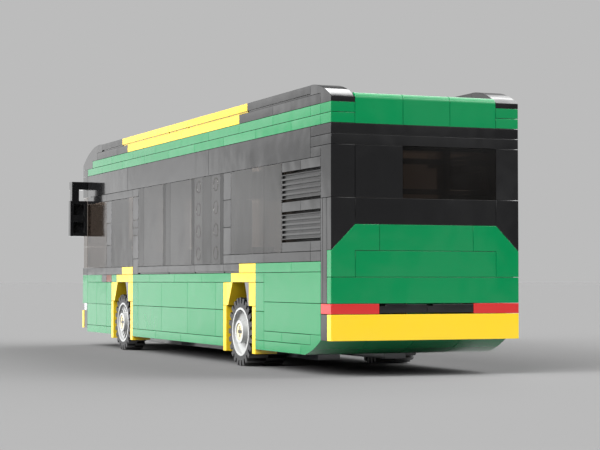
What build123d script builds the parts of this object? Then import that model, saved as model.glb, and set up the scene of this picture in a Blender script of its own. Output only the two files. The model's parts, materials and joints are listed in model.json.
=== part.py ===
"""Brick-built toy model of a single-deck city bus that rolls on four free-turning wheels.

Frame: +X forward, +Y to the bus's left, +Z up, in millimetres, with the origin on the floor
below the middle of the whole model. Bricks sit on a grid of studs along X and Y and of plates
along Z. Grid X is counted forward from the rear end of the side walls, grid Y from the middle,
and grid Z up from the underside of the body.
"""
import os
from math import atan2, cos, degrees, radians, sin

from build123d import *

os.makedirs("parts", exist_ok=True)

# The brick grid
stud = 8.0
plate = 3.2
play = 0.12
tile_groove = 0.5
bracket = 1.6
hollow_wall = 1.5

# The body's stations along X, in studs
rear_axle = 9.0
front_axle = 27.0
wall_end = 34.0

# The body's half widths, in studs
side_out = 4.0
side_in = 3.0

# The body's levels, in plates
waist = 8.0
sill = waist + 1
band_foot = sill + 10
cornice_foot = band_foot + 3
rail_foot = cornice_foot + 2
roof_top = rail_foot + 2

# The passenger doors on the right: stations in studs, foot and head in plates
middle_door = (16.0, 20.0)
front_door_width = 3.0
door_foot = 1.0
door_head = band_foot - 1
door_stile = 2.0
door_rail = 6.4

# The sideways-built skins on the rear and the nose, in millimetres
skin = bracket + 2 * plate
bumper_proud = 0.8
screen_depth = 6.0

# Wheels, in millimetres
tyre_r = 11.7
tyre_wall = 3.35
rear_tyre_width = 14.0
front_tyre_width = 7.5
wheel_inset = 0.6
lug_height = 2.0
lug_width = 1.5
lug_draft = 0.2
lugs_per_row = 24
lip = 0.8
web_wall = 1.2
boss_r = 4.0
boss_proud = 0.5
pin_head_r = 2.9
pin_recess = 0.3
slot_width = 1.1
slot_length = 3.8
axle_r = 2.4
head_length = 2.4
axle_middle_gap = 9.0
running_fit = 0.05
seat_fit = 0.05
axle_above_foot = 5.5
arch_gap = 1.1
side_gap = 0.8
rail_gap = 1.4
spokes = 6
spoke_width = 3.3
spoke_land = 0.3
spoke_slot = 1.0
spoke_slot_length = 2.1
spoke_slot_r = 5.6
wheel_sides = 24

# Windows, in millimetres
pane = 1.6

# Worked out from the values above
foot = tyre_r - axle_above_foot
track_out = side_out * stud - wheel_inset
rim_r = tyre_r - tyre_wall
lip_r = rim_r - lip
rear_face = -skin
front_face = wall_end * stud + skin + bumper_proud
middle = (rear_face + front_face) / 2
arch_half = (tyre_r + arch_gap + plate) / stud
pillar = plate / stud
skin_studs = skin / stud
REAR_ARCH = (rear_axle - arch_half, rear_axle + arch_half)
FRONT_ARCH = (front_axle - arch_half, front_axle + arch_half)
glazing_start = REAR_ARCH[1]
glazing_end = FRONT_ARCH[0] - 1
DOORS = (middle_door, (FRONT_ARCH[1] + 1, FRONT_ARCH[1] + 1 + front_door_width))
SIDES = (1, -1)


def place_x(studs):
    """Millimetres along X of a station counted in studs."""
    return studs * stud - middle


def place_z(plates):
    """Millimetres above the floor of a level counted in plates."""
    return foot + plates * plate


def box_mm(x0, x1, y0, y1, z0, z1, gap=play):
    """A box between six positions in millimetres, with half the gap taken off each face."""
    low = [min(pair) + gap / 2 for pair in ((x0, x1), (y0, y1), (z0, z1))]
    high = [max(pair) - gap / 2 for pair in ((x0, x1), (y0, y1), (z0, z1))]
    size = [b - a for a, b in zip(low, high)]
    return Pos(*low) * Box(*size, align=Align.MIN)


def block(x0, x1, y0, y1, z0, z1):
    """A brick or plate between grid stations: studs along X and Y, plates up Z."""
    return box_mm(place_x(x0), place_x(x1), y0 * stud, y1 * stud, place_z(z0), place_z(z1))


def tile(x0, x1, y0, y1, z0, z1):
    """A plate-high tile: a block with the fine groove round its foot."""
    body = block(x0, x1, y0, y1, z0, z1)
    box = body.bounding_box()
    low, high = box.min, box.max
    cut = Pos(low.X, low.Y, low.Z) * Box(box.size.X, box.size.Y, tile_groove, align=Align.MIN)
    keep = Pos(low.X + tile_groove, low.Y + tile_groove, low.Z) * Box(
        high.X - low.X - 2 * tile_groove, high.Y - low.Y - 2 * tile_groove, tile_groove, align=Align.MIN
    )
    return body - (cut - keep)


def side_prism(outline, y0, y1):
    """An outline of (X studs, Z plates) points, with arcs, extruded between two Y positions in mm."""
    face = make_face(Plane.XZ * outline)
    low, high = sorted((y0, y1))
    return Pos(0, high - play / 2, 0) * extrude(face, high - low - play, dir=(0, -1, 0))


def at(x, z):
    """A point of a side outline, from studs and plates to millimetres."""
    return (place_x(x), place_z(z))


def line(*points):
    """Straight edges through points given in studs and plates."""
    return Polyline(*[at(x, z) for x, z in points])


def arc(a, b, c):
    """An arc through three points given in studs and plates."""
    return ThreePointArc(at(*a), at(*b), at(*c))


def save(name, solids):
    """Write one node's solids to its STEP file."""
    export_step(Compound(children=[s for s in solids]), f"parts/{name}.step")


def clear_of_doors(side, a, b, z0, z1):
    """The stretches of a side-wall piece that no door takes, between stations a and b."""
    stretches = [(a, b)]
    if side > 0 or z1 <= door_foot or z0 >= door_head:
        return stretches
    for start, end in DOORS:
        kept = []
        for s0, s1 in stretches:
            if start >= s1 or end <= s0:
                kept.append((s0, s1))
                continue
            kept += [pair for pair in ((s0, start), (end, s1)) if pair[1] > pair[0]]
        stretches = kept
    return stretches


def course(side, z0, z1, edges, make=block):
    """One course of bricks along a side wall, between each two neighbouring edges."""
    inner, outer = side * side_in, side * side_out
    return [
        make(s0, s1, inner, outer, z0, z1)
        for a, b in zip(edges, edges[1:])
        for s0, s1 in clear_of_doors(side, a, b, z0, z1)
    ]


# Lower side walls: columns are foot level, top level, edges along X
def skirt_rows():
    aft, fore = REAR_ARCH
    near, far = FRONT_ARCH
    return (
        (0, 1, (2, aft - 1, aft)),
        (1, 2, (1, 4, aft - 1)),
        (2, 5, (0, aft - 1)),
        (5, waist, (0, aft - 1)),
        (1, 4, (aft - 1, aft)),
        (4, 7, (aft - 1, aft)),
        (7, waist, (aft - 1, aft)),
        (waist, sill, (0, 3, aft)),
        (0, 1, (fore, 17, 21, near)),
        (1, 4, (fore, 12, 16, 20, 24, near)),
        (4, 7, (fore, 12, 16, 20, 24, near)),
        (7, waist, (fore - 1, 14, 18, 22, near)),
        (0, 1, (far, far + 1, wall_end)),
        (1, 4, (far, far + 1, far + 3, wall_end)),
        (4, 7, (far, far + 1, far + 3, wall_end)),
        (7, waist, (far - 1, far)),
        (7, waist, (far + 2, wall_end)),
    )


def skirt(side):
    solids = []
    for z0, z1, edges in skirt_rows():
        solids += course(side, z0, z1, edges)
    return solids


# Yellow wheel arches: two stepped plates over pillars of an upright tile with a slope brick above
tile_top = 4.5
arch_tile = 5.0
slope_top = 7.0
slope_foot_out = 0.62
slope_head_out = 1.2
aft_block_out = 0.8
guard_head_out = 1.3
guard_foot_out = 0.93


def arch(side, aft, fore):
    inner, outer = side * side_in * stud, side * side_out * stud
    slope = line(
        (fore - pillar, tile_top), (fore - pillar, slope_top), (fore - slope_head_out, slope_top),
        (fore - slope_foot_out, tile_top), (fore - pillar, tile_top),
    )
    return [
        block(aft, aft + 2, side * side_in, side * side_out, waist, sill),
        block(aft, fore - 1, side * side_in, side * side_out, waist - 1, waist),
        block(aft, aft + aft_block_out, side * side_in, side * side_out, tile_top, slope_top),
        block(fore - pillar, fore, side * side_in, side * side_out, tile_top, slope_top),
        side_prism(slope, inner, outer),
        block(aft, aft + pillar, side * side_in, side * side_out, tile_top - arch_tile, tile_top),
        block(fore - pillar, fore, side * side_in, side * side_out, tile_top - arch_tile, tile_top),
    ]


# Black frame of the side walls: columns are foot level, top level, edges along X
def frame_rows():
    fore = REAR_ARCH[1]
    near, far = FRONT_ARCH
    return (
        (waist, sill, (near + 2, far + 1, wall_end)),
        (9, 10, (0, 1, 6, glazing_start)),
        (10, 11, (0, 1, 4)),
        (14, 15, (0, 2, 4)),
        (18, 19, (0, 2, 4)),
        (10, 13, (fore - 1, fore)),
        (13, 16, (fore - 1, fore)),
        (16, 19, (fore - 1, fore)),
        (8, 10, (glazing_end, near)),
        (10, 13, (glazing_end, near)),
        (13, 14, (glazing_end, near)),
        (14, 15, (glazing_end, near)),
        (15, 18, (glazing_end, near)),
        (18, 19, (glazing_end, near)),
        (9, 12, (far, far + 1)),
        (12, 15, (far, far + 1)),
        (15, 18, (far, far + 1)),
        (18, 19, (near, far + 1, wall_end)),
        (19, cornice_foot, (1, 13, 26, wall_end)),
        (19, 20, (0, 1)),
        (7, waist, (far + 1, far + 2)),
    )


def side_frame(side):
    aft, fore = REAR_ARCH
    solids = []
    for z0, z1, edges in frame_rows():
        solids += course(side, z0, z1, edges)
    solids += course(side, waist, sill, (aft + 2, fore, 15, 19, glazing_end), tile)
    if side < 0:
        for start, end in DOORS:
            if start < glazing_end:
                solids.append(
                    block(start, end, side * side_in, side * side_out, door_head, band_foot)
                )
    inner, back = side * side_in * stud, side * (side_out * stud - plate)
    x0, x1 = place_x(0), place_x(grille_end)
    slit = (3 * plate - stud) / 2
    for z in grille_feet:
        low, high = place_z(z), place_z(z + 3)
        wall = box_mm(x0, x1, inner, inner + side * liner, low, high)
        solids.append(wall + box_mm(x0, x1, inner, back, low + slit, high - slit))
    return solids


# Engine-bay louvres: grooved tiles on a backing, with an open slit above and below each row
grille_feet = (11, 15)
grille_end = 4
groove_count = 5
groove_height = 1.1
groove_depth = 0.75
liner = 1.2
groove_stop = 0.35


def louvre(side, x0, x1, z0):
    """A grooved tile in the middle of a three-plate gap; the last one before the windows is closed."""
    slit = (3 * plate - stud) / 2
    foot_z = place_z(z0) + slit
    outer = side * side_out * stud
    body = box_mm(place_x(x0), place_x(x1), outer, outer - side * plate, foot_z, foot_z + stud)
    pitch = stud / groove_count
    for i in range(groove_count):
        z = foot_z + (i + 0.5) * pitch
        end = place_x(x1) - groove_stop if x1 == grille_end else place_x(x1) + 1
        cut = box_mm(place_x(x0) - 1, end, outer + side, outer - side * groove_depth,
                     z - groove_height / 2, z + groove_height / 2)
        body = body - cut
    return body


def grilles():
    return [
        louvre(side, x0, x0 + 2, z0)
        for side in SIDES
        for z0 in grille_feet
        for x0 in (0, 2)
    ]


# Side glazing: columns are edges along X in plates from the rear of the sideways-built run
glazing_edges = (0, 1, 4, 7, 10, 11, 19, 21, 22, 30)


def side_windows(side):
    near, far = FRONT_ARCH
    fore = REAR_ARCH[1]
    stations = [glazing_start + edge * pillar for edge in glazing_edges] + [glazing_end]
    solids = course(side, sill, band_foot, stations)
    outer = side * side_out * stud
    panes = (
        (4, 6, 10, band_foot),
        (6, fore - 1, 10, band_foot),
        (near, far, sill, 18),
        (far + 1, wall_end, sill, 18),
    )
    for a, b, z0, z1 in panes:
        for x0, x1 in clear_of_doors(side, a, b, z0, z1):
            solids.append(
                box_mm(place_x(x0), place_x(x1), outer, outer - side * pane, place_z(z0), place_z(z1))
            )
    if side < 0:
        solids += door_panes()
    return solids


# Passenger doors: two leaves each, a framed pane in every leaf
def door_leaves():
    """The X positions in mm of each leaf's two edges."""
    edges = []
    for start, end in DOORS:
        half = (start + end) / 2
        edges += [(place_x(start), place_x(half)), (place_x(half), place_x(end))]
    return edges


def doors():
    outer = -side_out * stud
    solids = []
    for x0, x1 in door_leaves():
        leaf = box_mm(x0, x1, outer, outer + plate, place_z(door_foot), place_z(door_head))
        window = Pos((x0 + x1) / 2, outer, (place_z(door_foot) + place_z(door_head)) / 2) * Box(
            x1 - x0 - 2 * door_stile, 3 * plate, (door_head - door_foot) * plate - 2 * door_rail
        )
        solids.append(leaf - window)
    return solids


def door_panes():
    outer = -side_out * stud
    inset = (plate - pane) / 2
    return [
        box_mm(x0 + door_stile, x1 - door_stile, outer + inset, outer + inset + pane,
               place_z(door_foot) + door_rail, place_z(door_head) - door_rail)
        for x0, x1 in door_leaves()
    ]


# Green cornice: columns are foot level, top level, edges along X
cornice_rows = (
    (cornice_foot, cornice_foot + 1, (0, 3, 7, 11, 15, 19, 23, 27, 31, wall_end)),
    (cornice_foot + 1, rail_foot, (0, 1, 5, 9, 13, 17, 21, 25, 29, wall_end - 1)),
)


def cornice():
    solids = []
    for side in SIDES:
        for z0, z1, edges in cornice_rows:
            solids += course(side, z0, z1, edges)
            solids.append(
                box_mm(rear_face - middle, place_x(0), side * side_in * stud, side * side_out * stud,
                       place_z(z0), place_z(z1))
            )
    return solids


# Roof rails
def rail_yellow():
    solids = []
    for side in SIDES:
        solids += course(side, rail_foot, rail_foot + 1, (9, 17, 26))
        solids += course(side, rail_foot + 1, roof_top, (8, 16, 19, 27), tile)
    return solids


def rail_black():
    solids = []
    tail = rear_face / stud
    nose = wall_end + skin_studs
    top, low = roof_top, rail_foot
    lip_z = low + 0.5
    rear_slope = line((tail, lip_z), (tail, low), (0, low), (0, low + 1), (1, low + 1), (1, top))
    rear_slope += arc((1, top), (-0.2, top - 0.5), (tail, lip_z))
    for side in SIDES:
        solids += course(side, low, low + 1, (0, 5, 9))
        solids += course(side, low, low + 1, (26, 28, wall_end - 2))
        solids += course(side, low + 1, top, (1, 8), tile)
        solids += course(side, low + 1, top, (27, wall_end - 3), tile)
        solids.append(side_prism(rear_slope, side * side_in * stud, side * side_out * stud))
    step1, step2, step3 = wall_end - 1, wall_end - 2, wall_end - 3
    front_cap = line(
        (nose, low - 0.33), (nose, low - 1), (step1, low - 1), (step1, low), (step2, low), (step2, low + 1),
        (step3, low + 1), (step3, top),
    )
    front_cap += arc((step3, top), (wall_end - 0.43, top - 0.7), (nose, low - 0.33))
    solids.append(side_prism(front_cap, -side_out * stud, side_out * stud))
    return solids


def roof_deck():
    edges = (0, 8, 16, 24, wall_end - 1)
    return [
        block(a, b, y0, y1, rail_foot - 1, rail_foot)
        for a, b in zip(edges, edges[1:])
        for y0, y1 in ((-side_in, 0), (0, side_in))
    ]


# Rear end: heights in plates, sideways pieces one stud tall each
stud_up = stud / plate
bumper_foot = 1.5
bumper_top = bumper_foot + stud_up
lower_foot = 5.0
window_foot = lower_foot + 4 * stud_up
window_head = window_foot + 2 * stud_up
upper_top = cornice_foot + 2.95
upper_round = 0.25
notch_width = 2.1
notch_height = 0.5


def rear_skin(depth, y0, y1, z0, z1):
    """A tile of the rear skin, its outer face on the rear plane, widths in studs."""
    face = rear_face - middle
    return box_mm(face, face + depth, y0 * stud, y1 * stud, place_z(z0), place_z(z1))


def rear_outline(points):
    """A plate-thick piece on the rear plane from (Y studs, Z plates) points."""
    outline = Polyline(*[(y * stud, place_z(z)) for y, z in points], close=True)
    face = make_face(Plane.YZ * outline)
    return Pos(rear_face - middle, 0, 0) * extrude(face, plate - play / 2, dir=(1, 0, 0))


def rear_panels():
    row = lower_foot
    solids = []
    for half_width in (4, 3, 2):
        solids.append(rear_skin(plate, -half_width, half_width, row, row + stud_up))
        row += stud_up
    ky = play / 2 / stud
    kz = play / 2 / plate
    low, mid, high = lower_foot + stud_up, lower_foot + 2 * stud_up, lower_foot + 3 * stud_up
    for s in SIDES:
        points = [
            (2 + ky, mid + kz), (3 + ky, mid + kz), (3 + ky, low + kz), (4 - ky, low + kz),
            (4 - ky, mid), (3, high - kz), (2 + ky, high - kz),
        ]
        solids.append(rear_outline([(s * y, z) for y, z in points]))
    tail = rear_face / stud
    front = tail + pillar
    top = upper_top
    for y in (-3, -1, 1):
        outline = line(
            (tail, cornice_foot), (front, cornice_foot), (front, top), (tail + upper_round, top)
        )
        outline += arc((tail + upper_round, top), (tail + 0.07, top - 0.18), (tail, top - 0.6))
        outline += line((tail, top - 0.6), (tail, cornice_foot))
        solids.append(side_prism(outline, y * stud, (y + 2) * stud))
    return solids


def rear_frame():
    ky = play / 2 / stud
    kz = play / 2 / plate
    face = rear_face - middle
    core = place_x(0)
    back = lower_foot + 3 * stud_up
    half = side_out * stud
    solids = [
        rear_skin(skin + stud, -4, 4, window_head, window_head + 1),
        rear_skin(skin + stud, -4, 4, window_head + 1, cornice_foot),
        rear_skin(plate, -3, 3, back, window_foot),
        rear_skin(plate, 1, 3, window_foot, window_head),
        box_mm(face + plate, core - bracket, -half, half, place_z(lower_foot), place_z(window_foot)),
        box_mm(core - bracket, core, -half, half, place_z(lower_foot), place_z(window_foot)),
        box_mm(face + plate, core, -half, half, place_z(bumper_foot), place_z(bumper_top)),
        box_mm(face + plate, core, -3 * stud, 3 * stud, place_z(cornice_foot), place_z(rail_foot)),
    ]
    for s in SIDES:
        solids.append(rear_skin(skin, s * 3, s * 4, window_foot, window_head))
        points = [
            (3 + ky, back + kz), (4 - ky, back - stud_up + 2 * kz), (4 - ky, window_foot - kz),
            (3 + ky, window_foot - kz),
        ]
        solids.append(rear_outline([(s * y, z) for y, z in points]))
    for y0 in (-2, 0):
        row = rear_skin(skin, y0, y0 + 2, bumper_top + 0.1, lower_foot - 0.06)
        corner = row.bounding_box()
        notch = Pos(corner.min.X, corner.max.Y, corner.max.Z) * Box(
            plate, 2 * notch_width, 2 * notch_height
        )
        solids.append(row - notch)
    return solids


def rear_windows():
    """Clear bricks two studs square, hollow from the cabin side."""
    solids = []
    for y in (-3, -1):
        body = rear_skin(2 * plate, y, y + 2, window_foot, window_head)
        hollow = rear_skin(2 * plate, y, y + 2, window_foot, window_head).bounding_box()
        cavity = Pos(hollow.max.X, (y + 1) * stud, (hollow.min.Z + hollow.max.Z) / 2) * Box(
            2 * (2 * plate - hollow_wall), 2 * stud - 2 * hollow_wall, 2 * stud - 2 * hollow_wall
        )
        solids.append(body - cavity)
    return solids


def tail_lamps():
    return [rear_skin(skin, s * 2, s * 4, bumper_top, lower_foot) for s in SIDES]


def rear_bumper():
    return [rear_skin(plate, -4, 4, bumper_foot, bumper_top)]


curve_start = 1.6


def rear_underside():
    """Four inverted curved slopes under the rear corner, two studs wide each."""
    outline = line((0, bumper_foot), (0, 2), (1, 2), (1, 1), (2, 1), (2, 0), (curve_start, 0))
    outline += arc((curve_start, 0), (0.606, 0.73), (0, bumper_foot))
    return [side_prism(outline, y * stud, (y + 2) * stud) for y in (-4, -2, 0, 2)]


# Nose: heights in plates
nose_foot = 4.0
front_bumper_foot = 0.5
front_bumper_top = front_bumper_foot + stud_up
screen_seam = sill + 3


def nose_skin(depth, y0, y1, z0, z1, back=0.0):
    """A piece of the nose whose front face lies a given distance behind the nose plane."""
    face = place_x(wall_end) + skin - back
    return box_mm(face - depth, face, y0 * stud, y1 * stud, place_z(z0), place_z(z1))


def nose_panels():
    return [nose_skin(skin, -4, 0, nose_foot, waist), nose_skin(skin, 0, 4, nose_foot, waist)]


def front_frame():
    end = place_x(wall_end)
    half = side_in * stud
    return [
        nose_skin(skin, -4, 4, waist, sill),
        nose_skin(skin, -4, 4, band_foot, cornice_foot),
        nose_skin(skin, -4, 4, cornice_foot, cornice_foot + 1),
        box_mm(end - stud, end, -half, half, place_z(0), place_z(waist)),
        nose_skin(skin - 2 * bracket, -4, 4, front_bumper_foot, front_bumper_top, 2 * bracket),
    ]


def windscreen():
    """Two clear panels below the seam and two above, each with a return along its outer side."""
    solids = []
    for z0, z1 in ((sill, screen_seam), (screen_seam, band_foot)):
        for y0, y1 in ((-4, 0), (0, 4)):
            body = nose_skin(screen_depth, y0, y1, z0, z1, pane)
            box = body.bounding_box()
            cavity = Pos(box.min.X, (box.min.Y + box.max.Y) / 2, (box.min.Z + box.max.Z) / 2) * Box(
                2 * (screen_depth - pane), box.size.Y - 2 * hollow_wall, box.size.Z - 2 * hollow_wall
            )
            solids.append(body - cavity)
    return solids


def front_bumper():
    face = front_face - middle
    half = side_out * stud
    return [box_mm(face - plate, face, -half, half, place_z(front_bumper_foot), place_z(front_bumper_top))]


def headlamps():
    lamp_foot = front_bumper_top
    return [nose_skin(plate, s * 2, s * 4, lamp_foot, nose_foot, 2 * bracket) for s in SIDES]


def marker_lamps():
    start = FRONT_ARCH[1]
    return [block(start, start + 1, s * side_in, s * side_out, waist - 1, waist) for s in SIDES]


# Chassis, floor and wheel housings
rail_start = 5.0
rail_end = 23.0
front_plate_end = 31.0
floor_start = 2.0
floor_end = 33.0
rail_out = (track_out - rear_tyre_width - rail_gap) / stud
rail_in = rail_out - 1


def wheelhouse_face(width):
    """Distance from the middle to a wheelhouse's outer face, behind a tyre of the given width."""
    return track_out - width - side_gap


def chassis():
    return [block(rail_start, rail_end, s * rail_in, s * rail_out, -1, 0) for s in SIDES]


def floor():
    stretches = ((floor_start, REAR_ARCH[0]), (REAR_ARCH[1], FRONT_ARCH[0]), (FRONT_ARCH[1], floor_end))
    return [block(x0, x1, -side_in, side_in, 0, 1) for x0, x1 in stretches]


def wheelhouses():
    solids = []
    inner = side_in * stud
    for (aft, fore), width in ((REAR_ARCH, rear_tyre_width), (FRONT_ARCH, front_tyre_width)):
        face = wheelhouse_face(width)
        x0, x1 = place_x(aft + pillar), place_x(fore - pillar)
        block_out = aft + aft_block_out
        head, toe = aft + guard_head_out, aft + guard_foot_out
        mid = (head + toe) / 2
        guard = line((toe, tile_top), (block_out, tile_top), (block_out, slope_top), (head, slope_top))
        guard += arc((head, slope_top), (mid - 0.05, (tile_top + slope_top) / 2), (toe, tile_top))
        for s in SIDES:
            solids.append(box_mm(x0, x1, s * (face - stud / 2), s * face, place_z(3), place_z(waist - 1)))
            solids.append(block(aft, fore, s, s * side_in, waist - 1, waist))
            for x in (aft, fore - pillar):
                solids.append(block(x, x + pillar, s, s * side_in, 1, waist - 1))
            solids.append(side_prism(guard, s * inner, s * side_out * stud))
    return solids


def axle_carrier(axle, width):
    """A bearing block two studs long with the axle's bore right across it."""
    face = wheelhouse_face(width)
    x = place_x(axle)
    body = box_mm(x - stud, x + stud, -face, face, place_z(0), place_z(3))
    bore = Pos(x, 0, tyre_r) * Rot(90, 0, 0) * Cylinder(axle_r + running_fit, 2 * face + 2)
    return body - bore


def front_plate():
    return block(rail_end, front_plate_end, -rail_out, rail_out, -1, 0)


# Cabin: seats are the rear edge in studs and the side they stand on
SEATS = ((12.5, 1), (15.5, 1), (18.5, 1), (21.5, 1), (12.5, -1), (21.5, -1), (29.2, 1))
cushion = 4.0
seat_top = 11.0
dash_start = 32.0
dash_top = 10.0
hand_wheel_r = 6.0
hand_wheel_bar = 1.4
hand_wheel_lean = 30
column_length = 5.0


def seats():
    solids = []
    for x, s in SEATS:
        y0, y1 = s, s * side_in
        solids.append(block(x, x + 2, y0, y1, cushion, cushion + 1))
        solids.append(block(x, x + pillar, y0, y1, cushion + 1, seat_top))
        solids.append(block(x + 0.5, x + 1.5, s * 1.5, s * 2.5, 1, cushion))
    return solids


def dashboard():
    """The dashboard with the steering wheel on its column."""
    desk = block(dash_start, wall_end, -side_in, side_in, waist, dash_top)
    flat = RegularPolygon(hand_wheel_r, 24) - RegularPolygon(hand_wheel_r - hand_wheel_bar, 24)
    wheel_ring = extrude(flat, hand_wheel_bar)
    bar = Box(2 * hand_wheel_r - hand_wheel_bar, hand_wheel_bar, hand_wheel_bar)
    column = Box(hand_wheel_bar, hand_wheel_bar, 2 * column_length)
    ring = wheel_ring + Pos(0, 0, hand_wheel_bar / 2) * bar + column
    centre = Pos(place_x(dash_start + 0.5), 2 * stud, place_z(dash_top) + column_length)
    return [desk + centre * Rot(0, -hand_wheel_lean, 0) * ring]


# Mirrors: an arm and a stay over the head, which is two hollow plates turned to face backwards
mirror_foot = 13.5
mirror_hollow = 5.0
mirror_hollow_depth = 1.8
stay_foot = 20.1
stay_top = 21.2
stay_reach = 7.3
stay_width = 3.3
stay_depth = 3.5
arm_depth = 5.0


def mirror_set(side):
    wall = side * side_out * stud
    x0 = place_x(wall_end)
    reach = wall + side * stay_reach
    high = place_z(mirror_foot + 2 * stud_up)
    solid = box_mm(x0, x0 + plate, wall + side * play, wall + side * stud, place_z(mirror_foot), high, 0)
    for z in (mirror_foot + stud_up / 2, mirror_foot + 3 * stud_up / 2):
        cavity = Box(2 * mirror_hollow_depth, mirror_hollow, mirror_hollow)
        solid = solid - Pos(x0, wall + side * stud / 2, place_z(z)) * cavity
    stay = box_mm(x0, x0 + stay_depth, reach - side * stay_width, reach, high, place_z(stay_foot), 0)
    arm = box_mm(x0, x0 + arm_depth, wall + side * play, reach, place_z(stay_foot), place_z(stay_top), 0)
    return solid + stay + arm


# Wheels, built with the outer face at Y = 0 and the inside towards -Y
def prism(radius, y0, y1, sides=wheel_sides):
    """A many-sided drum about the axle between two Y positions, the higher one first."""
    return Pos(0, y0, 0) * Rot(90, 0, 0) * extrude(RegularPolygon(radius, sides), y0 - y1)


def lug_ring(turn):
    """The outline of one row of lugs: flats at the carcass with straight-sided teeth on them."""
    base = tyre_r - lug_height
    points = []
    for i in range(lugs_per_row):
        mid = turn + 360 / lugs_per_row * i
        for radius, half in ((base, lug_width / 2 + lug_draft), (tyre_r, lug_width / 2)):
            points.append((radius, mid, -half))
        for radius, half in ((tyre_r, lug_width / 2), (base, lug_width / 2 + lug_draft)):
            points.append((radius, mid, half))
    corners = []
    for radius, mid, offset in points:
        c, s = cos(radians(mid)), sin(radians(mid))
        corners.append((radius * c - offset * s, radius * s + offset * c))
    return make_face(Polyline(*corners, close=True))


def tyre(width):
    half = width / 2
    outer = Rot(90, 0, 0) * extrude(lug_ring(0), half)
    inner = Pos(0, -half, 0) * Rot(90, 0, 0) * extrude(lug_ring(180 / lugs_per_row), half)
    return outer + inner - prism(rim_r + seat_fit, 1, -width - 1)


def rim(width, dish_depth, dish_rise, open_spokes):
    """A lipped barrel with a dished web, a proud boss and a stepped hole for the axle."""
    web_back = -dish_depth - web_wall
    edge = -dish_depth + dish_rise
    barrel = prism(rim_r, 0, -width) - prism(lip_r, 1, -width - 1)
    web = prism(lip_r, edge, web_back)
    slope = degrees(atan2(lip_r - boss_r, dish_rise))
    dish = extrude(RegularPolygon(lip_r, wheel_sides), dish_rise, taper=slope)
    web = web - Pos(0, edge, 0) * Rot(90, 0, 0) * dish
    if open_spokes:
        openings = prism(lip_r - spoke_land, 0, web_back - 1) - prism(boss_r + spoke_land, 1, web_back - 2)
        for i in range(spokes // 2):
            openings = openings - Rot(0, 360 / spokes * i, 0) * Box(3 * rim_r, 3 * width, spoke_width)
        web = web - openings
        for i in range(spokes):
            slot = Pos(spoke_slot_r, 0, 0) * Box(spoke_slot_length, 3 * width, spoke_slot)
            web = web - Rot(0, 360 / spokes * i, 0) * slot
    solid = barrel + web + prism(boss_r, boss_proud, -width)
    solid = solid - prism(pin_head_r + seat_fit, boss_proud + 1, -pin_recess - head_length + boss_proud)
    hole_r = (axle_r + seat_fit) / cos(radians(180 / wheel_sides))
    return solid - prism(hole_r, width, -2 * width)


def pin():
    """The axle: a head with a cross slot in the boss, and a round shaft to near the middle."""
    face = boss_proud - pin_recess
    reach = track_out - axle_middle_gap / 2
    head = prism(pin_head_r, face, face - head_length)
    shaft = Pos(0, face - (reach + face) / 2, 0) * Rot(90, 0, 0) * Cylinder(axle_r, reach + face)
    solid = head + shaft
    for turn in (0, 90):
        solid = solid - Rot(0, turn, 0) * Pos(0, face, 0) * Box(slot_width, head_length, slot_length)
    return solid


def wheel(axle, side, shape):
    """Place a wheel piece on its axle; right-hand wheels are turned to face outwards."""
    if side < 0:
        shape = Rot(0, 0, 180) * shape
    return Pos(place_x(axle), side * track_out, tyre_r) * shape


save("chassis", chassis())
save("floor", floor())
save("wheelhouses", wheelhouses())
save("axle_carrier_rear", [axle_carrier(rear_axle, rear_tyre_width)])
save("axle_carrier_front", [axle_carrier(front_axle, front_tyre_width), front_plate()])
save("seats", seats())
save("dashboard", dashboard())
for name, side in (("left", 1), ("right", -1)):
    save(f"skirt_{name}", skirt(side))
    save(f"frame_{name}", side_frame(side))
    save(f"windows_{name}", side_windows(side))
save("doors_right", doors())
save("mirrors", [mirror_set(side) for side in SIDES])
save("arches", [piece for side in SIDES for ends in (REAR_ARCH, FRONT_ARCH) for piece in arch(side, *ends)])
save("marker_lamps", marker_lamps())
save("grilles", grilles())
save("cornice", cornice())
save("rail_yellow", rail_yellow())
save("rail_black", rail_black())
save("roof_deck", roof_deck())
save("rear_panels", rear_panels())
save("rear_frame", rear_frame())
save("rear_windows", rear_windows())
save("tail_lamps", tail_lamps())
save("rear_bumper", rear_bumper())
save("rear_underside", rear_underside())
save("nose_panels", nose_panels())
save("front_frame", front_frame())
save("windscreen", windscreen())
save("front_bumper", front_bumper())
save("headlamps", headlamps())
axle_pin = pin()
WHEELS = (
    # end, axle, width, dish depth, dish rise, open spokes
    ("rear", rear_axle, rear_tyre_width, 3.0, 1.5, False),
    ("front", front_axle, front_tyre_width, 1.6, 0.6, True),
)
for end, axle, width, depth, rise, open_spokes in WHEELS:
    tyre_shape = tyre(width)
    rim_shape = rim(width, depth, rise, open_spokes)
    for name, side in (("left", 1), ("right", -1)):
        save(f"tyre_{end}_{name}", [wheel(axle, side, tyre_shape)])
        save(f"rim_{end}_{name}", [wheel(axle, side, rim_shape)])
        save(f"pin_{end}_{name}", [wheel(axle, side, axle_pin)])
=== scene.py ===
"""Dresses the brick-built toy city bus: soft-edged moulded bricks, smoke-clear windows, wheels and studio.

Everything is in metres in the frame's own axes: +X forward, +Y to the bus's left, +Z up, floor at Z = 0.
The added pieces' sizes and places are in millimetres, and MM turns them to metres.
"""
import json
import logging
import math
from dataclasses import dataclass, field
from enum import Enum

import bpy
from mathutils import Matrix, Vector


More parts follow.
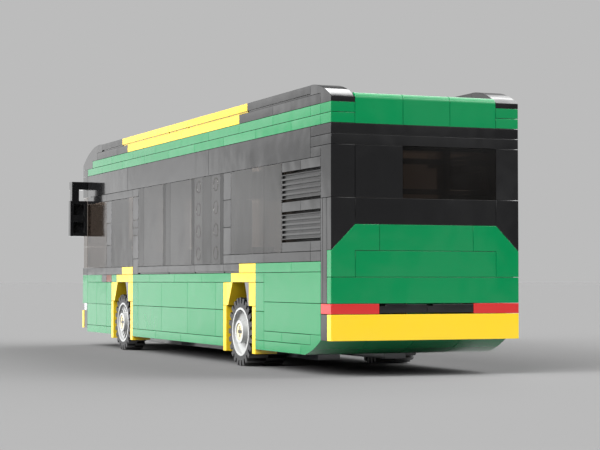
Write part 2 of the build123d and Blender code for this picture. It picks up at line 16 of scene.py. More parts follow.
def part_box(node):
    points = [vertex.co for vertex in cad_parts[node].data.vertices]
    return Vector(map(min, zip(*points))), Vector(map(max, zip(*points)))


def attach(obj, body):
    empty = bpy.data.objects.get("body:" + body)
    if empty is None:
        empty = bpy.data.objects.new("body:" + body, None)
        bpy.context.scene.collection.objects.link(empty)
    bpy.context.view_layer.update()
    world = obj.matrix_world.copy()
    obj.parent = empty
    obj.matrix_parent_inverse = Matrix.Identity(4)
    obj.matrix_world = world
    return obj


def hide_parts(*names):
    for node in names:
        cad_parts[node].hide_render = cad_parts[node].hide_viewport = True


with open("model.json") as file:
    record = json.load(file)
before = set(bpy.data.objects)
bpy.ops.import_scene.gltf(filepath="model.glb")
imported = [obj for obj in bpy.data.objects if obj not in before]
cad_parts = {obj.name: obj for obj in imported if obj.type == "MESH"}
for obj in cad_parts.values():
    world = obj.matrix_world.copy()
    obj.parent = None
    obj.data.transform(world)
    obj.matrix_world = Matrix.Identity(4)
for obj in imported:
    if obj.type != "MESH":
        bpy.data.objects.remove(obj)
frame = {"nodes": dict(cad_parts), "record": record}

LOG = logging.getLogger("bus")
MM = 0.001
SAME_WAY = 0.99             # the cosine past which a face counts as looking a given way
SAME_PLACE = 0.01 * MM      # how far a face's centre may be from the one that is meant

Place = tuple[float, float, float]      # X, Y and Z
Reach = tuple[float, float]             # a lowest and a highest value


class Side(Enum):
    """The two long sides of the bus, as the sign of Y."""

    LEFT = 1
    RIGHT = -1

    @property
    def word(self) -> str:
        """The side's name as the CAD nodes use it."""
        return self.name.lower()


class End(Enum):
    """The two ends of the bus, named as the CAD nodes name them."""

    REAR = "rear"
    FRONT = "front"


def linear(hex_colour: str) -> tuple[float, float, float, float]:
    """Turns an sRGB hex colour to the linear colour that shaders take, by the sRGB standard's own formula.

    Args:
        hex_colour: Six hex digits after a #.

    Returns:
        Linear red, green, blue and an alpha of 1.
    """
    parts = [int(hex_colour[i:i + 2], 16) / 255 for i in (1, 3, 5)]
    red, green, blue = [c / 12.92 if c <= 0.04045 else ((c + 0.055) / 1.055) ** 2.4 for c in parts]
    return red, green, blue, 1.0


def aimed(azimuth: float, elevation: float) -> Place:
    """Turns an azimuth and an elevation to a direction.

    Args:
        azimuth: Degrees from +X towards +Y.
        elevation: Degrees above the floor.

    Returns:
        The unit vector that way.
    """
    a, e = math.radians(azimuth), math.radians(elevation)
    return math.cos(e) * math.cos(a), math.cos(e) * math.sin(a), math.sin(e)


def blank_material(name: str) -> bpy.types.Material:
    """Makes a node material with no nodes in it yet.

    Args:
        name: The material's name.

    Returns:
        The material.
    """
    made = bpy.data.materials.new(name)
    made.use_nodes = True
    made.node_tree.nodes.clear()
    return made


def add_node(tree: bpy.types.NodeTree, kind: str, links: dict | None = None,
             **settings: object) -> bpy.types.Node:
    """Adds one shader node with its settings, socket values and links.

    Args:
        tree: The node tree that takes the node.
        kind: The node's type name after "ShaderNode".
        links: Socket name or number to a value or to another node's output socket.
        **settings: Attributes of the node itself.

    Returns:
        The new node.
    """
    node = tree.nodes.new("ShaderNode" + kind)
    for name, value in settings.items():
        setattr(node, name, value)
    for socket, value in (links or {}).items():
        if isinstance(value, bpy.types.NodeSocket):
            tree.links.new(value, node.inputs[socket])
        else:
            node.inputs[socket].default_value = value
    return node


@dataclass(frozen=True)
class MouldedABS:
    """Opaque injection-moulded ABS: a glossy skin with the mould's slight waves, each piece a hair askew.

    Attributes:
        name: The material's name.
        colour: Its colour.
        roughness: How blurred its gloss is.
        ior: The plastic's index of refraction.
        wave_mm: The waves' length.
        wave_rise_mm: Their height at full depth.
        wave_depth: The share of that height that they have.
        wave_detail: How many finer waves lie on them.
        wave_fade: How strong those finer waves are.
        tilt: How far a piece's surface may lean, as a slope.
        shade_spread: How much lighter or darker than its colour a piece may be.
        second_hand: The share of its colour and brightness in the light that it casts on its neighbours.
        painted_glow: Painted light: emission that lends a deep recess a little light of its own, though it
            holds no lamp.
    """

    name: str
    colour: str
    roughness: float = 0.1
    ior: float = 1.53
    wave_mm: float = 9.0
    wave_rise_mm: float = 0.9
    wave_depth: float = 0.12
    wave_detail: float = 1.0
    wave_fade: float = 0.4
    tilt: float = 0.012
    shade_spread: float = 0.04
    second_hand: float = 0.3
    painted_glow: float = 0.0

    def material(self) -> bpy.types.Material:
        """Builds the node material.

        Returns:
            The material, ready to assign.
        """
        made = blank_material(self.name)
        tree = made.node_tree
        piece = add_node(tree, "NewGeometry")
        normal = self.normal(tree, piece.outputs["Random Per Island"])
        ray = add_node(tree, "LightPath")
        passed_on = add_node(tree, "MapRange", {
            "Value": ray.outputs["Is Diffuse Ray"], "To Min": 1.0, "To Max": self.second_hand})
        shade = add_node(tree, "MapRange", {
            "Value": piece.outputs["Random Per Island"],
            "To Min": 1 - self.shade_spread, "To Max": 1 + self.shade_spread})
        value = add_node(tree, "Math", {0: shade.outputs["Result"], 1: passed_on.outputs["Result"]},
                         operation="MULTIPLY")
        tint = add_node(tree, "HueSaturation", {
            "Color": linear(self.colour), "Saturation": passed_on.outputs["Result"],
            "Value": value.outputs[0]})
        # Emission at the given strength is painted light: a piece that holds no lamp gives off light in its
        # own colour.
        skin = add_node(tree, "BsdfPrincipled", {
            "Base Color": tint.outputs["Color"], "Roughness": self.roughness, "IOR": self.ior,
            "Normal": normal, "Emission Color": linear(self.colour), "Emission Strength": self.painted_glow})
        add_node(tree, "OutputMaterial", {"Surface": skin.outputs[0]})
        return made

    def normal(self, tree: bpy.types.NodeTree, chance: bpy.types.NodeSocket) -> bpy.types.NodeSocket:
        """Waves the surface and leans each piece its own way.

        Args:
            tree: The material's nodes.
            chance: A number from 0 to 1 that each piece has for itself.

        Returns:
            The surface's direction.
        """
        place = add_node(tree, "TexCoord")
        wave = add_node(tree, "TexNoise", {
            "Vector": place.outputs["Object"], "Scale": 1 / (self.wave_mm * MM),
            "Detail": self.wave_detail, "Roughness": self.wave_fade})
        bump = add_node(tree, "Bump", {
            "Height": wave.outputs["Fac"], "Strength": self.wave_depth,
            "Distance": self.wave_rise_mm * MM})
        spread = add_node(tree, "TexWhiteNoise", {"W": chance}, noise_dimensions="1D")
        centred = add_node(tree, "VectorMath", {0: spread.outputs["Color"], 1: (0.5, 0.5, 0.5)},
                           operation="SUBTRACT")
        askew = add_node(tree, "VectorMath", {0: centred.outputs[0], "Scale": self.tilt * 2},
                         operation="SCALE")
        leaned = add_node(tree, "VectorMath", {0: bump.outputs["Normal"], 1: askew.outputs[0]},
                          operation="ADD")
        return add_node(tree, "VectorMath", {0: leaned.outputs[0]}, operation="NORMALIZE").outputs[0]


@dataclass(frozen=True)
class ClearABS:
    """Clear moulded plastic: light passes straight through the thin walls, tinted, under a glossy skin.

    Attributes:
        name: The material's name.
        colour: The tint that light takes at each wall.
        body: The colour of the little that a wall scatters.
        cover: The share of light that it scatters.
        roughness: How blurred its gloss is.
        ior: The plastic's index of refraction.
        two_skins: The outer face's gloss, which stands for both faces of the wall.
        wave_mm: The length of the mould's waves.
        wave_rise_mm: Their height at full depth.
        wave_depth: The share of that height that they have.
        wave_detail: How many finer waves lie on them.
    """

    name: str
    colour: str
    body: str
    cover: float
    roughness: float = 0.08
    ior: float = 1.5
    two_skins: float = 1.12
    wave_mm: float = 11.0
    wave_rise_mm: float = 1.0
    wave_depth: float = 0.06
    wave_detail: float = 1.0

    def material(self) -> bpy.types.Material:
        """Builds the node material.

        Returns:
            The material, ready to assign.
        """
        made = blank_material(self.name)
        tree = made.node_tree
        place = add_node(tree, "TexCoord")
        wave = add_node(tree, "TexNoise", {
            "Vector": place.outputs["Object"], "Scale": 1 / (self.wave_mm * MM),
            "Detail": self.wave_detail})
        bump = add_node(tree, "Bump", {
            "Height": wave.outputs["Fac"], "Strength": self.wave_depth,
            "Distance": self.wave_rise_mm * MM})
        through = add_node(tree, "BsdfTransparent", {"Color": linear(self.colour)})
        haze = add_node(tree, "BsdfDiffuse", {"Color": linear(self.body)})
        mixed = add_node(tree, "MixShader", {"Fac": self.cover, 1: through.outputs[0], 2: haze.outputs[0]})
        gloss = add_node(tree, "BsdfGlossy", {"Roughness": self.roughness, "Normal": bump.outputs["Normal"]})
        edge = add_node(tree, "Fresnel", {"IOR": self.ior, "Normal": bump.outputs["Normal"]})
        face = add_node(tree, "NewGeometry")
        outer = add_node(tree, "MapRange", {
            "Value": face.outputs["Backfacing"], "To Min": self.two_skins, "To Max": 0.0})
        gleam = add_node(tree, "Math", {0: edge.outputs[0], 1: outer.outputs["Result"]},
                         operation="MULTIPLY", use_clamp=True)
        skin = add_node(tree, "MixShader", {
            "Fac": gleam.outputs[0], 1: mixed.outputs[0], 2: gloss.outputs[0]})
        add_node(tree, "OutputMaterial", {"Surface": skin.outputs[0]})
        return made


@dataclass(frozen=True)
class MouldedRubber:
    """Soft black rubber of a toy tyre: fine moulded grain, a broad dull sheen.

    Attributes:
        name: The material's name.
        colour: Its colour.
        roughness: How broad its sheen is.
        grain_mm: The grain's width.
        grain_rise_mm: Its height at full depth.
        grain_depth: The share of that height that it has.
        grain_detail: How many finer grains lie on it.
    """

    name: str
    colour: str
    roughness: float = 0.55
    grain_mm: float = 0.6
    grain_rise_mm: float = 0.1
    grain_depth: float = 0.2
    grain_detail: float = 3.0

    def material(self) -> bpy.types.Material:
        """Builds the node material.

        Returns:
            The material, ready to assign.
        """
        made = blank_material(self.name)
        tree = made.node_tree
        place = add_node(tree, "TexCoord")
        grain = add_node(tree, "TexNoise", {
            "Vector": place.outputs["Object"], "Scale": 1 / (self.grain_mm * MM),
            "Detail": self.grain_detail})
        bump = add_node(tree, "Bump", {
            "Height": grain.outputs["Fac"], "Strength": self.grain_depth,
            "Distance": self.grain_rise_mm * MM})
        skin = add_node(tree, "BsdfPrincipled", {
            "Base Color": linear(self.colour), "Roughness": self.roughness,
            "Normal": bump.outputs["Normal"]})
        add_node(tree, "OutputMaterial", {"Surface": skin.outputs[0]})
        return made


FINISHES: dict[str, MouldedABS | ClearABS | MouldedRubber] = {
    # Moulded ABS bricks: a deep even colour under a sharp gloss, each brick catching the light its own way
    "green": MouldedABS("green_moulded_abs", "#00854c"),
    "yellow": MouldedABS("yellow_moulded_abs", "#f8d22b"),
    "black": MouldedABS("black_moulded_abs", "#1a1a1b"),
    "grey": MouldedABS("dark_grey_moulded_abs", "#63656a"),
    "light_grey": MouldedABS("light_grey_moulded_abs", "#bcbdbc"),
    "guard_grey": MouldedABS("blue_grey_moulded_abs", "#5c5e63"),
    "red": MouldedABS("red_moulded_abs", "#ca2d2c"),
    "white": MouldedABS("white_moulded_abs", "#e9eaec"),
    "tan": MouldedABS("tan_moulded_abs", "#e6d6a8"),
    # Ribbed tiles: the same black plastic without waves, so that the ribs stay straight; the grooves' walls
    # are painted shade, a darker and duller black
    "louvre_black": MouldedABS("black_ribbed_abs", "#1a1a1b", wave_depth=0.0, tilt=0.0),
    "groove": MouldedABS("groove_shade_abs", "#151516", roughness=0.35),
    # The engine bay's walls: dull black outside, as painted shade; brown inside, with a little painted light
    # of their own that stands for light from the cabin
    "lining": MouldedABS("brown_painted_light_abs", "#3d352f", painted_glow=0.6),
    "shade": MouldedABS("painted_shade_black_abs", "#0b0b0b", roughness=0.6),
    # Clear smoke-tinted ABS: mirror-like at a low angle, warm grey where one looks through; the more of it
    # stands one behind the other, the deeper it looks
    "smoke_clear": ClearABS("smoke_clear_abs", "#ccc6c1", "#3a3531", cover=0.03),
    "smoke_mid": ClearABS("smoke_mid_abs", "#b3aeaa", "#3a3531", cover=0.04, two_skins=1.0),
    "smoke_deep": ClearABS("smoke_deep_abs", "#8d8985", "#2e2a27", cover=0.05, two_skins=0.8),
    "amber_clear": ClearABS("warm_clear_abs", "#e08a60", "#b0552f", cover=0.35),
    # Soft tyre rubber: near black with a broad dull sheen on the lugs; the tread is the same rubber painted
    # darker, as painted shade
    "tyre": MouldedRubber("black_tyre_rubber", "#3e3e3f"),
    "tread": MouldedRubber("tread_shade_rubber", "#1b1b1c", roughness=0.4),
}


@dataclass(frozen=True)
class SoftLight:
    """One round soft patch of light in the sky.

    Attributes:
        azimuth: Where it stands, in degrees from +X towards +Y.
        elevation: How high it stands, in degrees.
        radiance: How bright it is.
        inner: The half angle within which it is full.
        outer: The half angle at which it is gone.
    """

    azimuth: float
    elevation: float
    radiance: float
    inner: float = 8.0
    outer: float = 28.0

    @property
    def aim(self) -> Place:
        """The unit vector towards the patch."""
        return aimed(self.azimuth, self.elevation)


def studio_lights() -> list[SoftLight]:
    """The studio's soft lights. To the camera, the left side mirrors those ahead, and the rear those behind.

    Returns:
        The lights, from the left round by the front, the right and the rear, and the one over the roof.
    """
    left_flank = [SoftLight(azimuth, 26, radiance, 5, 20)
                  for azimuth, radiance in ((90, 16.0), (120, 2.5), (150, 1.2))]
    left_high = [SoftLight(120, 50, 6.5), SoftLight(120, 32, 1.4)]
    ahead = [SoftLight(-30, 8, 0.3), SoftLight(0, 8, 0.3), SoftLight(33, 4, 1.15)]
    right_flank = [SoftLight(-150, 32, 0.9), SoftLight(-120, 32, 4.9), SoftLight(-60, 32, 4.0)]
    right_high = [SoftLight(-90, 50, 3.7)]
    behind = [SoftLight(-158, 10, 0.18, 4, 14)]
    behind += [SoftLight(-152, height, 0.28, 0.5, 2.5) for height in (0.5, 5.5)]
    over_roof = [SoftLight(-29, 42, 5.3, 4, 10)]
    return left_flank + left_high + ahead + right_flank + right_high + behind + over_roof


@dataclass
class Studio:
    """Pale floor, soft light from all round and the camera at the photograph's place.

    Attributes:
        camera_place: The camera's place in metres.
        camera_azimuth: Where it looks, in degrees from +X towards +Y.
        camera_elevation: How far up it looks, in degrees.
        lens: Its focal length in millimetres, for the usual 36 mm sensor.
        clip: The nearest and farthest that it sees, in metres.
        floor_half: Half the floor's width in metres.
        floor_seen: The floor's tone as seen, and as it lights the bus.
        floor_mirrored: Its tone as the bricks' gloss mirrors it, at the back and further ahead: a painted
            reflection tone, apart from the one that the camera sees.
        floor_change: The X in metres between which that tone changes.
        backdrop: The even grey that the camera sees behind the bus.
        mottle: How uneven the sky's patches are.
        mottle_scale: How fine that unevenness is.
        mottle_detail: How many finer steps it has.
        mottle_span: The noise's values that are spread to its full range.
        lights: The sky's patches of light.
    """

    camera_place: Place = (-0.600108, 0.227918, 0.028924)
    camera_azimuth: float = -22.200
    camera_elevation: float = 1.943
    lens: float = 99.72
    clip: Reach = (0.01, 200.0)
    floor_half: float = 30.0
    floor_seen: float = 0.2145
    floor_mirrored: Reach = (0.2, 0.64)
    floor_change: Reach = (-0.6, 0.4)
    backdrop: float = 0.503
    mottle: float = 0.45
    mottle_scale: float = 15.0
    mottle_detail: float = 2.0
    mottle_span: Reach = (0.3, 0.7)
    lights: list[SoftLight] = field(default_factory=studio_lights)

    def build(self) -> None:
        """Makes the floor, the world light and the camera."""
        self.floor()
        self.world()
        self.camera()
        bpy.context.scene.view_settings.view_transform = "Standard"

    def floor(self) -> None:
        """Lays a wide matt floor at Z = 0."""
        bpy.ops.mesh.primitive_plane_add(size=2 * self.floor_half, location=(0, 0, 0))
        plane = bpy.context.object
        plane.name = "floor"
        made = blank_material("matt_paper_floor")
        tree = made.node_tree
        ray = add_node(tree, "LightPath")
        place = add_node(tree, "TexCoord")
        along = add_node(tree, "SeparateXYZ", {0: place.outputs["Object"]})
        # Painted reflection: gloss rays see the floor in a tone of its own that brightens towards the front;
        # all other rays see floor_seen.
        mirrored = add_node(tree, "MapRange", {
            "Value": along.outputs["X"], "From Min": self.floor_change[0], "From Max": self.floor_change[1],
            "To Min": self.floor_mirrored[0], "To Max": self.floor_mirrored[1]})
        shade = add_node(tree, "MapRange", {
            "Value": ray.outputs["Is Glossy Ray"], "To Min": self.floor_seen,
            "To Max": mirrored.outputs["Result"]})
        skin = add_node(tree, "BsdfDiffuse", {"Color": shade.outputs["Result"]})
        add_node(tree, "OutputMaterial", {"Surface": skin.outputs[0]})
        plane.data.materials.append(made)

    def world(self) -> None:
        """Lights the scene by soft patches in the sky; the camera sees an even grey behind the object."""
        world = bpy.data.worlds.new("studio")
        bpy.context.scene.world = world
        world.use_nodes = True
        tree = world.node_tree
        tree.nodes.clear()
        place = add_node(tree, "TexCoord")
        total = 0.0
        for light in self.lights:
            near = add_node(tree, "VectorMath", {0: place.outputs["Generated"], 1: light.aim},
                            operation="DOT_PRODUCT")
            lobe = add_node(tree, "MapRange", {
                "Value": near.outputs["Value"], "From Min": math.cos(math.radians(light.outer)),
                "From Max": math.cos(math.radians(light.inner)), "To Min": 0.0, "To Max": light.radiance},
                interpolation_type="SMOOTHSTEP")
            total = add_node(tree, "Math", {0: total, 1: lobe.outputs["Result"]}, operation="ADD").outputs[0]
        cloud = add_node(tree, "TexNoise", {
            "Vector": place.outputs["Generated"], "Scale": self.mottle_scale, "Detail": self.mottle_detail})
        factor = add_node(tree, "MapRange", {
            "Value": cloud.outputs["Fac"], "From Min": self.mottle_span[0], "From Max": self.mottle_span[1],
            "To Min": 1 - self.mottle, "To Max": 1 + self.mottle})
        strength = add_node(tree, "Math", {0: total, 1: factor.outputs["Result"]}, operation="MULTIPLY")
        lit = add_node(tree, "Background", {"Color": (1, 1, 1, 1), "Strength": strength.outputs[0]})
        seen = add_node(tree, "Background", {"Color": (1, 1, 1, 1), "Strength": self.backdrop})
        ray = add_node(tree, "LightPath")
        both = add_node(tree, "MixShader", {
            "Fac": ray.outputs["Is Camera Ray"], 1: lit.outputs[0], 2: seen.outputs[0]})
        add_node(tree, "OutputWorld", {"Surface": both.outputs[0]})

    def camera(self) -> None:
        """Places the camera low behind the bus's left rear corner."""
        data = bpy.data.cameras.new("camera")
        data.lens = self.lens
        data.clip_start, data.clip_end = self.clip
        eye = bpy.data.objects.new("camera", data)
        bpy.context.scene.collection.objects.link(eye)
        ahead = Vector(aimed(self.camera_azimuth, self.camera_elevation))
        eye.location = self.camera_place
        eye.rotation_euler = ahead.to_track_quat("-Z", "Y").to_euler()
        bpy.context.scene.camera = eye


def apply_modifier(piece: bpy.types.Object, kind: str, **settings: object) -> None:
    """Adds a modifier with its settings and applies it.

    Args:
        piece: The mesh object.
        kind: The modifier's type.
        **settings: Its attributes.
    """
    bpy.context.view_layer.objects.active = piece
    modifier = piece.modifiers.new(kind.lower(), kind)
    for name, value in settings.items():
        setattr(modifier, name, value)
    bpy.ops.object.modifier_apply(modifier=modifier.name)


@dataclass(frozen=True)
class SoftEdges:
    """How a copy's edges are finished.

    Attributes:
        radius_mm: Their rounding, or none at 0.
        steps: The rounding's steps.
        crisp: The angle in degrees past which an edge is rounded, or stays crisp where the radius is 0.
    """

    radius_mm: float = 0.09
    steps: int = 2
    crisp: float = 34.0


class Shape(Enum):
    """The kinds of piece, by how their edges are softened."""

    BRICK = SoftEdges()
    PANE = SoftEdges(radius_mm=0.0)
    TREAD = SoftEdges(radius_mm=0.0, crisp=28.0)
    LOUVRE = SoftEdges(radius_mm=0.0, crisp=30.0)


@dataclass(frozen=True)
class Stretch:
    """A stretch of the bus, in millimetres.

    Attributes:
        aft: Its lowest X.
        fore: Its highest X.
        inner: Its least distance from the middle plane.
        outer: Its greatest, which is past the sides where none is given.
    """

    aft: float
    fore: float
    inner: float = 0.0
    outer: float = 99.0

    def holds(self, place: Vector) -> bool:
        """Whether a place, given in metres, lies in the stretch."""
        return self.aft <= place.x / MM <= self.fore and self.inner <= abs(place.y) / MM <= self.outer


# The finish of a node where it isn't its material slot's own
FINISH_OF: dict[str, str] = {"wheelhouses": "guard_grey", "grilles": "louvre_black"}
# The faces of a kind of node that have another tone: where clear bricks' inner walls stand behind the
# windows, the louvres' grooves, whose walls are painted darker as shade, and a tyre's tread inside its outer
# wall, painted darker as shade
TONES_OF: dict[str, dict[str, tuple[Stretch, ...]]] = {
    "windows": {
        "smoke_mid": (Stretch(-35.6, -26.0), Stretch(12.4, 18.8), Stretch(47.6, 55.6)),
        "smoke_deep": (Stretch(-48.4, -45.2), Stretch(-16.4, -13.2), Stretch(18.8, 22.0)),
    },
    "grilles": {"groove": (Stretch(-150, -100, 31.3, 31.8),)},
    "tyre": {"tread": (Stretch(-150, 150, 0, 30.4),)},
}


@dataclass
class Dresser:
    """Stands a softened, dressed copy in for each CAD node.

    Attributes:
        merge_mm: How near each other two corners are that become one.
        flat_angle: The angle in degrees below which two faces become one.
        materials: Each finish's material, filled by build.
    """

    merge_mm: float = 0.002
    flat_angle: float = 0.5
    materials: dict[str, bpy.types.Material] = field(default_factory=dict)

    def build(self) -> None:
        """Makes the materials, then copies, softens and dresses each node."""
        for slot, finish in FINISHES.items():
            self.materials[slot] = finish.material()
        groups = frame["record"]["behaviour"]["bodies"]
        bodies = {node: body for body, nodes in groups.items() for node in nodes}
        for part in frame["record"]["subparts"]:
            name, slot = part["node"], part["material_slot"]
            piece = self.softened(name, self.shape_of(name).value)
            piece.data.materials.clear()
            piece.data.materials.append(self.materials[FINISH_OF.get(name, slot)])
            for tone, stretches in TONES_OF.get(name.split("_")[0], {}).items():
                self.tone(piece, tone, stretches)
            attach(piece, bodies[name])
            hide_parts(name)
            LOG.info("dressed %s in %s: %d faces", name, slot, len(piece.data.polygons))

    def tone(self, piece: bpy.types.Object, finish: str, stretches: tuple[Stretch, ...]) -> None:
        """Gives some of a piece's faces another finish.

        Args:
            piece: The dressed copy.
            finish: The finish's name.
            stretches: Where the faces' centres lie.
        """
        piece.data.materials.append(self.materials[finish])
        index = len(piece.data.materials) - 1
        for face in piece.data.polygons:
            if any(stretch.holds(face.center) for stretch in stretches):
                face.material_index = index

    def shape_of(self, name: str) -> Shape:
        """Picks a node's kind from its name.

        Args:
            name: The CAD node.

        Returns:
            Its kind of piece.
        """
        if name.startswith("tyre"):
            return Shape.TREAD
        if name == "grilles":
            return Shape.LOUVRE
        return Shape.PANE if "window" in name or name == "windscreen" else Shape.BRICK

    def softened(self, name: str, edges: SoftEdges) -> bpy.types.Object:
        """Copies a node, merges its doubles, joins its flat faces and rounds its edges.

        Args:
            name: The CAD node.
            edges: The rounding and the smoothing.

        Returns:
            The copy, with its place in its mesh.
        """
        bpy.ops.object.select_all(action="DESELECT")
        source = frame["nodes"][name]
        mesh = source.data.copy()
        mesh.transform(source.matrix_world)
        piece = bpy.data.objects.new(name + "_skin", mesh)
        bpy.context.scene.collection.objects.link(piece)
        bpy.context.view_layer.objects.active = piece
        piece.select_set(True)
        bpy.ops.mesh.customdata_custom_splitnormals_clear()
        bpy.ops.object.mode_set(mode="EDIT")
        bpy.ops.mesh.select_all(action="SELECT")
        bpy.ops.mesh.remove_doubles(threshold=self.merge_mm * MM)
        bpy.ops.mesh.dissolve_limited(angle_limit=math.radians(self.flat_angle))
        bpy.ops.object.mode_set(mode="OBJECT")
        if edges.radius_mm:
            apply_modifier(piece, "BEVEL", width=edges.radius_mm * MM, segments=edges.steps,
                           limit_method="ANGLE", angle_limit=math.radians(edges.crisp))
            bpy.ops.object.shade_smooth()
            apply_modifier(piece, "WEIGHTED_NORMAL")
        else:
            bpy.ops.object.shade_smooth_by_angle(angle=math.radians(edges.crisp))
        piece.select_set(False)
        return piece


def start_block(name: str, low: Place, high: Place) -> bpy.types.Object:
    """Adds a box at its size and place in millimetres, applied, selected alone and active.

    Args:
        name: The new piece's name.
        low: The lowest corner.
        high: The highest corner.

    Returns:
        The box, to be shaped further.
    """
    bpy.ops.object.select_all(action="DESELECT")
    size = [(b - a) * MM for a, b in zip(low, high)]
    centre = [(a + b) / 2 * MM for a, b in zip(low, high)]
    bpy.ops.mesh.primitive_cube_add(size=1, location=centre, scale=size)
    piece = bpy.context.object
    piece.name = name
    bpy.ops.object.transform_apply(location=True, rotation=True, scale=True)
    return piece


def pick_faces(piece: bpy.types.Object, facing: Vector, centre: Vector | None = None) -> None:
    """Selects only the faces of a piece that look one way, in object mode.

    Args:
        piece: The mesh object.
        facing: The direction that they look in.
        centre: Where the face's centre is, if only one is meant.
    """
    for part in (piece.data.vertices, piece.data.edges):
        for element in part:
            element.select = False
    for face in piece.data.polygons:
        meant = centre is None or (face.center - centre).length < SAME_PLACE
        face.select = meant and face.normal.dot(facing) > SAME_WAY


@dataclass
class EngineBay:
    """What shows through the rear windows and the louvres: a dark lining, open at the back, its outside a
    painted shade of near black and its inside lit by painted light, and three bars.

    Attributes:
        materials: Each finish's material.
        low: The lining's lowest corner.
        high: Its highest corner.
        wall_mm: Its walls' thickness.
        wall_edge_mm: The width of its edges' flats.
        bar_depth: The bars' back and front.
        bar_width: The cross bars' right and left ends.
        bar_heights: Each cross bar's lower and upper edge.
        bar_edge_mm: The rounding of the bars' edges.
        bar_crisp: The angle in degrees past which a bar's edge stays crisp.
        mullion_width: The upright bar's right and left edges.
        mullion_height: Its foot and its top.
    """

    materials: dict[str, bpy.types.Material]
    low: Place = (-136.3, -28.6, 30.5)
    high: Place = (-96.5, 28.6, 70.0)
    wall_mm: float = 0.8
    wall_edge_mm: float = 0.1
    bar_depth: Reach = (-138.0, -136.6)
    bar_width: Reach = (-23.7, 7.7)
    bar_heights: tuple[Reach, ...] = ((55.9, 57.6), (65.2, 67.0))
    bar_edge_mm: float = 0.3
    bar_crisp: float = 40.0
    mullion_width: Reach = (-11.5, -9.5)
    mullion_height: Reach = (54.5, 69.8)

    def build(self) -> None:
        """Makes the lining and the bars."""
        self.lining()
        for number, height in enumerate(self.bar_heights):
            self.bar(f"bay_bar_{number}", self.bar_width, height)
        self.bar("bay_mullion", self.mullion_width, self.mullion_height)

    def lining(self) -> None:
        """Opens a box at the back and gives its walls their thickness."""
        piece = start_block("bay_lining", self.low, self.high)
        pick_faces(piece, Vector((-1, 0, 0)))
        bpy.ops.object.mode_set(mode="EDIT")
        bpy.ops.mesh.delete(type="FACE")
        bpy.ops.object.mode_set(mode="OBJECT")
        # The outer walls take near-black painted shade; the inner shell that the solidify adds takes the
        # brown finish with its painted light.
        piece.data.materials.append(self.materials["shade"])
        piece.data.materials.append(self.materials["lining"])
        apply_modifier(piece, "SOLIDIFY", thickness=self.wall_mm * MM, offset=-1, material_offset=1)
        apply_modifier(piece, "BEVEL", width=self.wall_edge_mm * MM, segments=1)
        self.settle(piece)

    def bar(self, name: str, width: Reach, height: Reach) -> None:
        """Makes one rounded bar behind the glass.

        Args:
            name: The piece's name.
            width: Its right and left ends.
            height: Its lower and upper edges.
        """
        low, high = zip(self.bar_depth, width, height)
        piece = start_block(name, low, high)
        apply_modifier(piece, "BEVEL", width=self.bar_edge_mm * MM, segments=2)
        bpy.ops.object.shade_smooth_by_angle(angle=math.radians(self.bar_crisp))
        piece.data.materials.append(self.materials["black"])
        self.settle(piece)

    def settle(self, piece: bpy.types.Object) -> None:
        """Lets a piece ride on the bus.

        Args:
            piece: The finished piece.
        """
        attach(piece, "bus_body")
        LOG.info("built %s", piece.name)


@dataclass
class AxleEnds:
    """The black cross-shaped axle that shows in each hub, a hair behind the pin's face.

    Attributes:
        materials: Each finish's material.
        arm_mm: The cross's width from arm's end to arm's end.
        width_mm: An arm's own width.
        depth_mm: How deep the cross goes.
        behind_mm: How far behind the pin's face it ends.
        edge_mm: The width of its edges' flats.
    """

    materials: dict[str, bpy.types.Material]
    arm_mm: float = 4.9
    width_mm: float = 1.5
    depth_mm: float = 1.2
    behind_mm: float = 0.12
    edge_mm: float = 0.08

    def build(self) -> None:
        """Makes one cross in each pin."""
        for end in End:
            for side in Side:
                self.cross(end, side)

    def cross(self, end: End, side: Side) -> None:
        """Makes the cross of one wheel: a block whose four narrow sides are drawn out into arms.

        Args:
            end: The bus's end.
            side: The bus's side.
        """
        low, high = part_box(f"pin_{end.value}_{side.word}")
        x, z = (low[0] + high[0]) / 2 / MM, (low[2] + high[2]) / 2 / MM
        outer = (high[1] if side is Side.LEFT else low[1]) / MM - side.value * self.behind_mm
        inner = outer - side.value * self.depth_mm
        half, reach = self.width_mm / 2, (self.arm_mm - self.width_mm) / 2
        piece = start_block(f"axle_end_{end.value}_{side.word}", (x - half, min(inner, outer), z - half),
                            (x + half, max(inner, outer), z + half))
        middle = Vector((x, (inner + outer) / 2, z)) * MM
        for aim in (Vector((1, 0, 0)), Vector((-1, 0, 0)), Vector((0, 0, 1)), Vector((0, 0, -1))):
            pick_faces(piece, aim, middle + aim * half * MM)
            bpy.ops.object.mode_set(mode="EDIT")
            bpy.ops.mesh.extrude_region_move(TRANSFORM_OT_translate={"value": aim * reach * MM})
            bpy.ops.object.mode_set(mode="OBJECT")
        apply_modifier(piece, "BEVEL", width=self.edge_mm * MM, segments=1)
        piece.data.materials.append(self.materials["black"])
        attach(piece, f"wheel_{end.value}_{side.word}")
        LOG.info("built %s", piece.name)


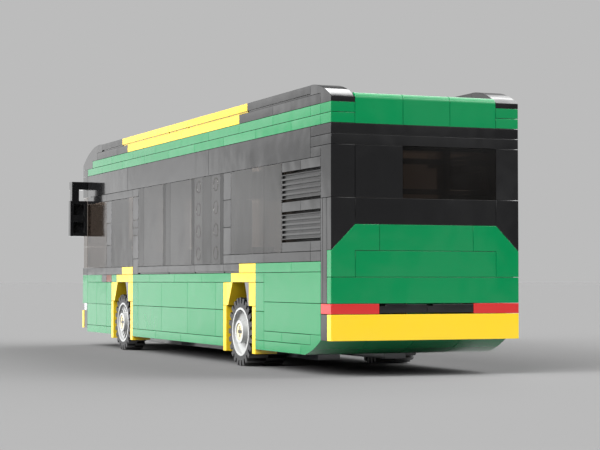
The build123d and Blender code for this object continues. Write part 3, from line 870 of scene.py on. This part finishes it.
@dataclass
class TubeMouths:
    """The round tube mouths that show as faint rings in the two clear columns of the left windows.

    Attributes:
        materials: Each finish's material.
        columns: The columns' X.
        lowest: The lowest ring's height.
        pitch: From one ring to the next above it.
        count: The rings in a column.
        radius_mm: A ring's radius.
        bead_mm: The radius of its bead.
        proud_mm: How far the bead stands out of the window's face.
        around: The ring's steps.
        across: The bead's steps.
    """

    materials: dict[str, bpy.types.Material]
    columns: tuple[float, ...] = (-40.4, -21.2)
    lowest: float = 38.9
    pitch: float = 8.2
    count: int = 4
    radius_mm: float = 2.3
    bead_mm: float = 0.3
    proud_mm: float = 0.1
    around: int = 32
    across: int = 8

    def build(self) -> None:
        """Makes one ring, then a copy with its own mesh at each other place, and joins them."""
        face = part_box("windows_left")[1][1] + (self.proud_mm - self.bead_mm) * MM
        bpy.ops.object.select_all(action="DESELECT")
        bpy.ops.mesh.primitive_torus_add(major_radius=self.radius_mm * MM, minor_radius=self.bead_mm * MM,
                                         major_segments=self.around, minor_segments=self.across,
                                         rotation=(math.pi / 2, 0, 0),
                                         location=(self.columns[0] * MM, face, self.lowest * MM))
        bpy.ops.object.transform_apply(location=True, rotation=True, scale=True)
        first = bpy.context.object
        bpy.ops.object.shade_smooth()
        shifts = [Vector((column - self.columns[0], 0, level * self.pitch)) * MM
                  for column in self.columns for level in range(self.count)]
        for shift in shifts[1:]:
            ring = bpy.data.objects.new("ring", first.data.copy())
            ring.data.transform(Matrix.Translation(shift))
            bpy.context.scene.collection.objects.link(ring)
            ring.select_set(True)
        bpy.ops.object.join()
        first.name = "tube_mouths_left"
        first.data.materials.append(self.materials["smoke_clear"])
        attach(first, "bus_body")
        LOG.info("built %s", first.name)


def main() -> None:
    """Builds the studio and dresses the bus."""
    logging.basicConfig(level=logging.INFO, format="%(name)s: %(message)s")
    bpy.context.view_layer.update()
    Studio().build()
    dresser = Dresser()
    dresser.build()
    for sub_assembly in (EngineBay, AxleEnds, TubeMouths):
        sub_assembly(dresser.materials).build()


if __name__ == "__main__":
    main()
